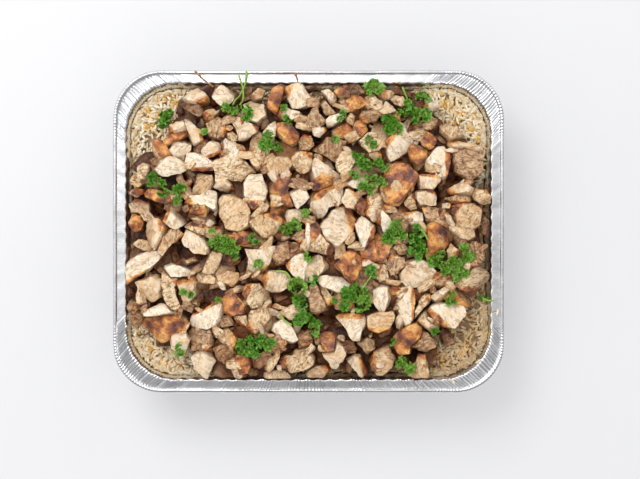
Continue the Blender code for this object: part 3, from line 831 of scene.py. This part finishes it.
# How each kind looks: material, tone, roundness, number of knife cuts, how torn it is, its chance of a browned edge
kindLabels = ("meat", "tone", "round", "cuts", "torn", "edge")
chunkKinds = {kind: dict(zip(kindLabels, look)) for kind, look in {
    "dark": ("thighMeat", (-1.0, -0.3), (0.30, 0.55), (3, 5), 1.2, 0.5),
    "brown": ("thighMeat", (0.1, 1.0), (0.20, 0.50), (3, 5), 1.1, 0.5),
    "seared": ("searedMeat", (-0.3, 0.6), (0.15, 0.35), (3, 6), 0.4, 0.0),
    "gold": ("searedMeat", (0.4, 1.0), (0.15, 0.35), (3, 6), 0.6, 0.6),
    "tan": ("breastTan", (-0.3, 1.0), (0.12, 0.38), (4, 6), 0.9, 0.6),
    "pale": ("breastWhite", (-0.6, 0.4), (0.08, 0.28), (4, 6), 0.8, 0.6),
    "white": ("breastWhite", (0.4, 1.0), (0.05, 0.18), (4, 6), 0.45, 0.45),
}.items()}
chunkHeap = {
    "cell": 0.0020, "dome": 0.003, "enlarge": 1.04, "readHeight": 0.072, "seed": 11,
    "thickness": (0.0085, 0.0145), "thickShare": 0.74, "knifeKeep": (0.66, 0.90), "taper": 0.07,
    "swell": 0.0016, "strands": 0.0008, "torn": 0.0010,
    # how much a piece follows the slope below, and how far it leans at random, for hidden and for seen pieces
    "hiddenLean": (0.55, 0.24), "seenLean": (0.25, 0.13), "mostLean": 0.4, "topSlack": 0.0022, "wallGap": 0.0014,
    "underPitch": 0.0165, "underSize": (0.017, 0.025), "underThick": (0.0060, 0.0085), "underWallGap": 0.010,
    # how many, their length, kinds, how much lower than the food round them, and the share of them sunk in
    "underScraps": (260, (0.004, 0.011), ["dark", "brown", "seared", "gold", "tan", "pale", "white"], -1.0, 84),
    "lowScraps": (120, (0.004, 0.010), ["brown", "tan", "brown", "pale", "gold", "dark"], -1.0, 84),
    "wedged": (90, (0.008, 0.014), ["tan", "brown", "pale", "tan", "gold", "seared", "brown"], 0.0035, 50),
    "crumbs": (24, (0.004, 0.007), ["tan", "brown", "pale"], 0.0050, 70),
    "gapReach": 4, "gapStart": 0.0018, "gapFull": 0.0120, "sideStart": 0.0028, "sideFull": 0.0070, "sideShade": 0.72,
}
chunkPixel = photo["metresPerPixel"] * chunkHeap["enlarge"]


def readRows(words):
    # each piece's places, and its browned side where it has one: a direction in degrees, "top" or "char"
    for row in words.split(";"):
        parts = row.split()
        side = parts.pop() if "," not in parts[-1] else None
        places = [tuple(float(value) for value in part.split(",")) for part in parts]
        yield places, side if side in ("top", "char", None) else float(side)


def blockShape(cuts):
    # the points and faces of a cube two units across, cut into a grid
    build = bmesh.new()
    bmesh.ops.create_cube(build, size=2.0)
    bmesh.ops.subdivide_edges(build, edges=build.edges[:], cuts=cuts, use_grid_fill=True)
    points = np.array([vertex.co[:] for vertex in build.verts])
    faces = [tuple(vertex.index for vertex in face.verts) for face in build.faces]
    build.free()
    return points, faces


def fitOutline(points, outline, size):
    # stretches the block's square plan to the outline, given in metres round its middle
    dense = []
    for (x, y), (nextX, nextY) in zip(outline, outline[1:] + outline[:1]):
        dense += [(x + (nextX - x) * step / 8, y + (nextY - y) * step / 8) for step in range(8)]
    dense.sort(key=lambda place: math.atan2(place[1], place[0]))
    turn = np.arctan2(points[:, 1], points[:, 0])
    turns, reaches = [math.atan2(y, x) for x, y in dense], [math.hypot(x, y) for x, y in dense]
    reach = np.abs(points[:, :2]).max(axis=1) * np.interp(turn, turns, reaches, period=2 * math.pi)
    points[:, 0] = np.cos(turn) * reach / (size[0] / 2)
    points[:, 1] = np.sin(turn) * reach / (size[1] / 2)


def cutChunk(chance, shape, size, look, outline):
    # a block rounded off, cut with a knife on a few sides and roughened along its strands
    points = shape[0].copy()
    rounding = chance.uniform(*look["round"]) * (0.6 if outline else 1.0)
    points = points * (1 - rounding) + points / np.linalg.norm(points, axis=1, keepdims=True) * 1.25 * rounding
    if outline:
        fitOutline(points, outline, size)
        points[:, :2] *= 1 - chunkHeap["taper"] * points[:, 2:]
    for _ in range(2 if outline else chance.randint(*look["cuts"])):
        turn = chance.uniform(0, 2 * math.pi)
        lean = chance.uniform(0.7, 1.3) if outline else chance.uniform(-0.35, 0.75)
        normal = np.array([math.cos(turn) * math.cos(lean), math.sin(turn) * math.cos(lean), math.sin(lean)])
        reach = points @ normal
        depth = reach.max() * chance.uniform(*chunkHeap["knifeKeep"])
        points = points - np.outer(np.maximum(reach - depth, 0.0), normal)
    if not outline:
        points[:, 0] *= 1 + chance.uniform(-0.18, 0.18) * points[:, 1]
        points[:, 1] *= 1 + chance.uniform(-0.18, 0.18) * points[:, 0]
        points[:, 0] += chance.uniform(-0.25, 0.25) * points[:, 2]
        points[:, 1] += chance.uniform(-0.25, 0.25) * points[:, 2]
    sized = points * np.array(size) / 2
    offset = Vector([chance.uniform(-90, 90) for _ in range(3)])
    bumps = []
    for x, y, z in sized:
        swell = noise.noise(Vector((x * 130, y * 130, z * 130)) + offset) * chunkHeap["swell"]
        strands = noise.noise(Vector((x * 110, y * 480, z * 480)) + offset) * chunkHeap["strands"]
        torn = noise.noise(Vector((x * 330, y * 330, z * 330)) + offset) * chunkHeap["torn"]
        bumps.append(swell + (strands + torn) * look["torn"])
    return sized + sized / np.maximum(np.linalg.norm(sized, axis=1, keepdims=True), 1e-6) * np.array(bumps)[:, None]


def brownedSide(points, size, side):
    # strong on the outer face of the meat that met the grill, 0 on the cut faces
    if side is None:
        return 0.0
    if side in ("top", "char"):
        direction, start, full = np.array([0.10, 0.05, 1.0]), 0.15, 0.62
    else:
        turn = math.radians(side)
        direction, start, full = np.array([math.cos(turn), math.sin(turn), 0.25]), 0.50, 0.80
    reach = (points / (np.array(size) / 2)) @ (direction / np.linalg.norm(direction))
    share = np.clip((reach / reach.max() - start) / (full - start), 0, 1)
    return share * share * (3 - 2 * share) * (1.25 if side == "char" else 1.0)


class HeapGround:
    # the height of what has been laid so far, on a grid over the tray
    def __init__(self):
        self.cell = chunkHeap["cell"]
        self.columns = int(2 * halfLong / self.cell) + 1
        self.rows = int(2 * halfShort / self.cell) + 1
        self.height = np.full((self.columns, self.rows), rimHeight)
        for column in range(self.columns):
            for row in range(self.rows):
                x, y = -halfLong + column * self.cell, -halfShort + row * self.cell
                level = riceLevel(x, y)
                if insideMouth(x, y, level, 0.0) > 0:
                    dome = max(0.0, 1 - (x / mouthLong) ** 2) * max(0.0, 1 - (y / mouthShort) ** 2)
                    self.height[column, row] = level + chunkHeap["dome"] * dome

    def cells(self, points):
        columns = np.clip(((points[:, 0] + halfLong) / self.cell).round().astype(int), 0, self.columns - 1)
        rows = np.clip(((points[:, 1] + halfShort) / self.cell).round().astype(int), 0, self.rows - 1)
        return columns, rows

    def slope(self, points):
        table = np.c_[points[:, 0], points[:, 1], np.ones(len(points))]
        return np.linalg.lstsq(table, self.height[self.cells(points)], rcond=None)[0][:2]

    def rest(self, points, top, sink):
        # the lift that lays a piece on the food, with some of it sunk in and its top under the limit
        under = {}
        for column, row, height in zip(*self.cells(points), points[:, 2]):
            under[column, row] = min(under.get((column, row), 1.0), height)
        gaps = [self.height[key] - low for key, low in under.items()]
        return min(float(np.percentile(gaps, sink)), top - points[:, 2].max())


ground = HeapGround()
heaps = {name: Heap() for name in meatLooks}
heapTop = heapHigh.z - chunkHeap["topSlack"]


def groundAt(x, y, reach=0.0):
    spread = [(0, 0), (reach, 0), (-reach, 0), (0, reach), (0, -reach)]
    points = np.array([(x + dx, y + dy) for dx, dy in spread])
    return float(ground.height[ground.cells(points)].max())


def typicalGround(x, y):
    # the middle height of the food round a place
    column, row = (int(index[0]) for index in ground.cells(np.array([[x, y]])))
    return float(np.median(ground.height[max(column - 5, 0):column + 6, max(row - 5, 0):row + 6]))


def layChunk(chance, kind, shape, x, y, size, turn, side, outline=None, sink=84):
    look = chunkKinds[kind]
    local = cutChunk(chance, shape, size, look, outline)
    if side is None and chance.random() < look["edge"]:
        side = chance.uniform(0, 360)
    middle = np.array([x, y, 0.0])
    spun = turned(local, turn) + middle
    follow, loose = chunkHeap["seenLean" if outline else "hiddenLean"]
    most = chunkHeap["mostLean"]
    leanX, leanY = (max(-most, min(most, follow * slope)) + chance.uniform(-1, 1) * loose
                    for slope in ground.slope(spun))
    tilt = np.array(Matrix.Rotation(-leanX, 3, "Y") @ Matrix.Rotation(leanY, 3, "X"))
    placed = (spun - middle) @ tilt.T + middle
    placed[:, 2] += ground.rest(placed, heapTop, sink)
    keepInTray(placed, chunkHeap["wallGap"], 0.03)
    np.maximum.at(ground.height, ground.cells(placed), placed[:, 2])
    grain = turned(local, chance.uniform(0, math.pi)) if outline else local
    texture = grain * 1000 + np.array([chance.uniform(-500, 500) for _ in range(3)])
    # painted shade: the colour darkens lower down each piece's sides
    drop = (placed[:, 2].max() - placed[:, 2] - chunkHeap["sideStart"]) / chunkHeap["sideFull"]
    heaps[look["meat"]].add(placed, shape[1], texture, chance.uniform(*look["tone"]), brownedSide(local, size, side),
                            np.clip(drop, 0, 1) * chunkHeap["sideShade"])


def layUnderChunks(chance):
    # the hidden lower layer, seen only down the gaps
    shape = blockShape(4)
    pitch, sizes = chunkHeap["underPitch"], chunkHeap["underSize"]
    columns, rows = int(mouthLong / pitch), int(mouthShort / pitch)
    for column in range(-columns, columns + 1):
        for row in range(-rows, rows + 1):
            x = (column + chance.uniform(-0.3, 0.3)) * pitch
            y = (row + chance.uniform(-0.3, 0.3)) * pitch
            if cornerCut(x, y)[0] < 1.15 or insideMouth(x, y, rimHeight, chunkHeap["underWallGap"]) < 0:
                continue
            kind = chance.choice(["dark", "tan", "tan", "gold", "brown", "brown"])
            size = (chance.uniform(*sizes), chance.uniform(*sizes), chance.uniform(*chunkHeap["underThick"]))
            layChunk(chance, kind, shape, x, y, size, chance.uniform(0, math.pi), chance.choice([None, "top", 0]))


def layScraps(chance, count, lengths, kinds, gap, sink):
    # shreds and crumbs where chicken lies, if the food round them stands this much higher
    shape = blockShape(4)
    laid = 0
    while laid < count:
        x = chance.uniform(-mouthLong, mouthLong)
        y = chance.uniform(-mouthShort, mouthShort)
        if cornerCut(x, y)[0] <= riceBed["bareCut"] or insideMouth(x, y, rimHeight, 0.004) <= 0:
            continue
        if typicalGround(x, y) - groundAt(x, y) < gap:
            continue
        kind = chance.choice(kinds)
        long = chance.uniform(*lengths)
        size = (long, max(0.0020, long * chance.uniform(0.30, 0.75)), max(0.0020, long * chance.uniform(0.25, 0.50)))
        layChunk(chance, kind, shape, x, y, size, chance.uniform(0, math.pi), None, None, sink)
        laid += 1


def thickness(chance, size):
    low, high = chunkHeap["thickness"]
    return min(max(chunkHeap["thickShare"] * size, low), high) * chance.uniform(0.9, 1.2)


def layLowChunks(chance):
    shape = blockShape(8)
    for kind, words in lowChunks.items():
        for ((px, py), (long, wide, turn)), side in readRows(words):
            thick = thickness(chance, min(long, wide) * chunkPixel)
            side = side - turn if isinstance(side, float) else side
            x, y = fromPhoto(px, py, chunkHeap["readHeight"])
            size = (long * chunkPixel, wide * chunkPixel, thick)
            layChunk(chance, kind, shape, x, y, size, math.radians(turn), side)


def layOutlined(chance, table):
    shape = blockShape(9)
    for kind, words in table.items():
        for places, side in readRows(words):
            low, high = np.min(places, axis=0), np.max(places, axis=0)
            px, py = (low + high) / 2
            long, wide = (high - low) * chunkPixel
            thick = thickness(chance, min(long, wide))
            x, y = fromPhoto(px, py, chunkHeap["readHeight"])
            x, y = fromPhoto(px, py, min(groundAt(x, y, 0.004) + 0.6 * thick, heapTop))
            outline = [((placeX - px) * chunkPixel, (py - placeY) * chunkPixel) for placeX, placeY in places]
            layChunk(chance, kind, shape, x, y, (long, wide, thick), 0.0, side, outline)


def cavities():
    # how deep each place lies below the food round it, for the painted shade that darkens the gaps
    steps = range(-chunkHeap["gapReach"], chunkHeap["gapReach"] + 1)
    height = ground.height
    for gather in (np.max, np.mean):
        for axis in (0, 1):
            height = gather([np.roll(height, step, axis) for step in steps], axis=0)
    start, full = chunkHeap["gapStart"], chunkHeap["gapFull"]
    return lambda points: np.clip((height[ground.cells(points)] - points[:, 2] - start) / (full - start), 0, 1)


def makeChicken():
    chance = random.Random(chunkHeap["seed"])
    layUnderChunks(chance)
    layScraps(chance, *chunkHeap["underScraps"])
    layLowChunks(chance)
    layScraps(chance, *chunkHeap["lowScraps"])
    layOutlined(chance, outlinedChunks)
    layOutlined(chance, crownChunks)
    layScraps(chance, *chunkHeap["wedged"])
    layScraps(chance, *chunkHeap["crumbs"])
    gapShadeAt = cavities()
    for meat, heap in heaps.items():
        piece = heap.build(meatLooks[meat]["piece"], "chicken", meatMaterials[meat], 38, gapShadeAt)
        if meat == "breastWhite":
            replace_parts(piece, "chicken_heap")
    print("chicken made, top at", round(float(ground.height.max()), 4))


makeChicken()


# Curly herb sprigs laid on the food, and strands of meat that hang over the rim

# x, y and width in pixels
herbClumps = """
    164,117,16 232,108,14 245,114,12 204,132,7 286,108,7 288,120,7 273,143,20 156,181,13 163,193,8 180,194,15
    302,214,8 287,228,11 295,225,8 216,241,18 230,251,17 254,238,8 374,88,15 384,124,18 395,127,12 373,141,10
    356,158,12 366,162,12 380,168,12 353,175,8 367,184,14 378,182,10 334,140,6 341,116,7 390,236,14 399,229,16
    412,234,16 417,250,16 440,263,18 456,268,20 466,253,14 370,272,10 345,299,18 360,301,18 352,292,14 451,299,9
    437,334,9 408,363,16 316,329,11 303,321,14 296,320,10 257,266,9 187,293,8 219,297,7 298,287,14 302,299,14
    244,347,14 256,345,18 268,344,12 309,256,8 313,280,7 179,351,9 391,342,6 487,300,7 407,108,10 425,97,12
    404,110,10 416,115,12 428,113,12 412,122,9"""
# strands of meat and stalk that hang over the rim
rimStrands = "195,71 200,76 208,83 214,88; 295,73 297,78 298,83"
# each stem: its points in pixels
herbStems = """
    246,70 244,84 239,95 233,106; 238,74 242,86 243,98 240,106; 403,86 408,98 414,108 418,116; 362,288 368,280
    372,272; 276,271 286,272 292,281 296,292; 160,183 164,188 172,192; 420,229 424,234 427,240; 281,314 285,320
    292,324; 484,299 490,301 495,301"""
herbLook = {
    "leafSize": (0.0018, 0.0036), "lift": 0.0012, "readHeight": 0.078, "spread": 1.12, "crown": 0.45,
    "stemWidth": 0.00085, "stemReadHeight": 0.074, "seed": 3,
}
strandLook = {"width": 0.0009, "lift": 0.0010}


def leafShape(chance, across=8, out=4):
    # a fan with a ruffled, lobed edge
    points = [(0.0, 0.0, 0.0)]
    edge = [0.0]
    phase = chance.uniform(0, 6)
    for ring in range(1, out + 1):
        share = ring / out
        for step in range(across + 1):
            turn = math.radians(-110 + 220 * step / across)
            lobe = 1 + 0.28 * share * math.cos(step * 2.4 + phase)
            ruffle = math.sin(step * 2.1 + phase) * 0.42 * share ** 2 + 0.25 * share ** 2
            points.append((math.cos(turn) * share * lobe, math.sin(turn) * share * lobe, ruffle))
            edge.append(share)
    faces = []
    for step in range(across):
        faces.append((0, 1 + step, 2 + step))
        for ring in range(out - 1):
            low = 1 + ring * (across + 1)
            faces.append((low + step, low + across + 1 + step, low + across + 2 + step, low + step + 1))
    return np.array(points), faces, np.array(edge)


def stemPath(points):
    # a smooth run of places through the given points
    points = [Vector(point) for point in points]
    places = []
    for index, (first, last) in enumerate(zip(points, points[1:])):
        before, after = points[max(index - 1, 0)], points[min(index + 2, len(points) - 1)]
        for step in range(5):
            t = step / 5
            places.append(0.5 * ((2 * first) + (last - before) * t + (2 * before - 5 * first + 4 * last - after) * t * t
                                 + (3 * first - before - 3 * last + after) * t ** 3))
    return places + [points[-1]]


def addTube(heap, centres, radius, tone, skin, sides=6):
    points = []
    for index, centre in enumerate(centres):
        ahead = centres[min(index + 1, len(centres) - 1)] - centres[max(index - 1, 0)]
        across = ahead.cross(Vector((0, 0, 1))).normalized()
        up = across.cross(ahead).normalized()
        size = radius * (1.0 - 0.35 * index / len(centres))
        for side in range(sides):
            turn = 2 * math.pi * side / sides
            points.append(centre + across * math.cos(turn) * size + up * math.sin(turn) * size)
    faces = [tuple(range(sides))[::-1], tuple(len(points) - sides + side for side in range(sides))]
    points = np.array([tuple(point) for point in points])
    heap.add(points, faces + ringFaces(len(centres), sides), points * 1000, tone, skin)


def makeHerbs():
    chance = random.Random(herbLook["seed"])
    leaves = Heap()
    for clump in herbClumps.split():
        px, py, width = (int(value) for value in clump.split(","))
        middle = fromPhoto(px, py, herbLook["readHeight"])
        reach = herbLook["spread"] * width * photo["metresPerPixel"] / 2
        count = max(6, round((width / 2.7) ** 2))
        arms = [chance.uniform(0, 2 * math.pi) for _ in range(3 + width // 6)]
        tone = chance.uniform(-0.9, 0.4)
        for _ in range(count):
            turn = chance.choice(arms) + chance.gauss(0, 0.22)
            away = reach * chance.random() ** 0.7
            x, y = middle[0] + math.cos(turn) * away, middle[1] + math.sin(turn) * away
            points, faces, edge = leafShape(chance)
            size = min(chance.uniform(*herbLook["leafSize"]), reach * 0.8)
            crown = (1 - (away / reach) ** 2) * reach * herbLook["crown"]
            # on the food, but not on a much higher piece beside the clump
            height = min(groundAt(x, y, 0.0016), groundAt(*middle, reach * 0.8) + 0.003)
            height += herbLook["lift"] + crown * chance.random()
            spun = turned(points * size, turn + chance.uniform(-0.9, 0.9), chance.uniform(-0.9, 0.5),
                          chance.uniform(-0.8, 0.8))
            height = min(height, heapHigh.z - 0.0002 - spun[:, 2].max())
            leaves.add(spun + np.array([x, y, height]), faces, points * 4 + chance.uniform(-90, 90),
                       min(1.0, tone + chance.uniform(-0.3, 0.5)), edge)
    width = herbLook["stemWidth"]
    for stem, _ in readRows(herbStems):
        centres = []
        for place in stemPath(stem):
            x, y = fromPhoto(place.x, place.y, herbLook["stemReadHeight"])
            height = max(groundAt(x, y, 0.0012), rimHeight) + 2 * width
            centres.append(Vector((x, y, min(height, heapHigh.z - 2 * width))))
        addTube(leaves, centres, width, 1.0, 0.9)
    leaves.build("herbSprigs", "herb", herbMaterial)


def makeStrands():
    strands = Heap()
    for strand, _ in readRows(rimStrands):
        places = [fromPhoto(place.x, place.y, rimHeight + 0.001) for place in stemPath(strand)]
        centres = [Vector((x, y, max(groundAt(x, y), rimHeight) + strandLook["lift"])) for x, y in places]
        addTube(strands, centres, strandLook["width"], 0.5, 0.0)
    strands.build("meatStrands", "chicken", meatMaterials["thighMeat"])


makeHerbs()
makeStrands()


# Studio: pale floor, soft light from the upper left, darker room towards the lower right

studio = {
    "floorSize": 6.0, "floorDrop": 0.0003, "floorColour": (0.75, 0.75, 0.765), "backColour": (0.86, 0.86, 0.87),
    "roomTurn": 104.0, "fill": (1.02, 0.96), "mirrored": (0.33, 1.12),
    "keySpot": (-0.48, 0.68, 1.15), "keySize": 0.68, "keyPower": 6.3,
}


def makeFloor():
    build = bmesh.new()
    bmesh.ops.create_grid(build, x_segments=8, y_segments=8, size=studio["floorSize"] / 2)
    mesh = bpy.data.meshes.new("paleFloor")
    build.to_mesh(mesh)
    build.free()
    floor = bpy.data.objects.new("paleFloor", mesh)
    floor.location.z = -studio["floorDrop"]
    bpy.context.scene.collection.objects.link(floor)
    material, tree, shader = newMaterial("paleTable")
    faint = placeGroup(tree, grainGroup, addNode(tree, "TexCoord", {}, {}, "Object"), 0.25, 0.0, 1.0)["Grain"]
    base = studio["floorColour"]
    colour = mixColour(tree, faint, base, tuple(value * 1.02 for value in base))
    plugAll(tree, shader, {"Base Color": colour, "Roughness": 0.7})
    mesh.materials.append(material)


def makeRoomLight():
    # even fill for the food, and a darker side for the foil to mirror
    world = bpy.data.worlds.new("softRoom")
    world.use_nodes = True
    tree = world.node_tree
    tree.nodes.clear()
    direction = addNode(tree, "TexCoord", {}, {}, "Generated")
    turn = math.radians(studio["roomTurn"])
    towards = addNode(tree, "VectorMath", {"operation": "DOT_PRODUCT"},
                      {0: direction, 1: (math.cos(turn), math.sin(turn), 0.0)}, "Value")
    fill = rangeNode(tree, towards, -0.5, 0.7, *studio["fill"])
    up = rangeNode(tree, addNode(tree, "SeparateXYZ", {}, {0: direction}, "Z"), 0.1, 0.72, 0.30, 1.0)
    mirrored = times(tree, rangeNode(tree, towards, -0.45, 0.45, *studio["mirrored"]), up)
    seen = tree.nodes.new("ShaderNodeLightPath").outputs
    share = times(tree, seen["Is Glossy Ray"], maths(tree, "LESS_THAN", seen["Diffuse Depth"], 0.5))
    bright = addNode(tree, "Mix", {}, {0: share, 2: fill, 3: mirrored})
    lamp = addNode(tree, "Background", {}, {"Color": (1.0, 1.0, 1.0), "Strength": bright})
    back = addNode(tree, "Background", {}, {"Color": studio["backColour"]})
    mix = addNode(tree, "MixShader", {}, {0: seen["Is Camera Ray"], 1: lamp, 2: back})
    plugAll(tree, tree.nodes.new("ShaderNodeOutputWorld"), {"Surface": mix})
    bpy.context.scene.world = world


def makeKeyLight():
    light = bpy.data.lights.new("windowLight", "AREA")
    light.shape = "SQUARE"
    light.size = studio["keySize"]
    light.energy = studio["keyPower"]
    lamp = bpy.data.objects.new("windowLight", light)
    lamp.location = studio["keySpot"]
    lamp.rotation_euler = (Vector((0, 0, 0)) - lamp.location).to_track_quat("-Z", "Y").to_euler()
    bpy.context.scene.collection.objects.link(lamp)


def makeCamera():
    camera = bpy.data.cameras.new("overheadCamera")
    camera.lens = photo["lens"]
    camera.sensor_width = photo["sensor"]
    camera.clip_end = 20
    holder = bpy.data.objects.new("overheadCamera", camera)
    holder.location = cameraSpot
    bpy.context.scene.collection.objects.link(holder)
    bpy.context.scene.camera = holder


makeFloor()
makeRoomLight()
makeKeyLight()
makeCamera()
bpy.context.scene.view_settings.view_transform = "Standard"
print("studio set")
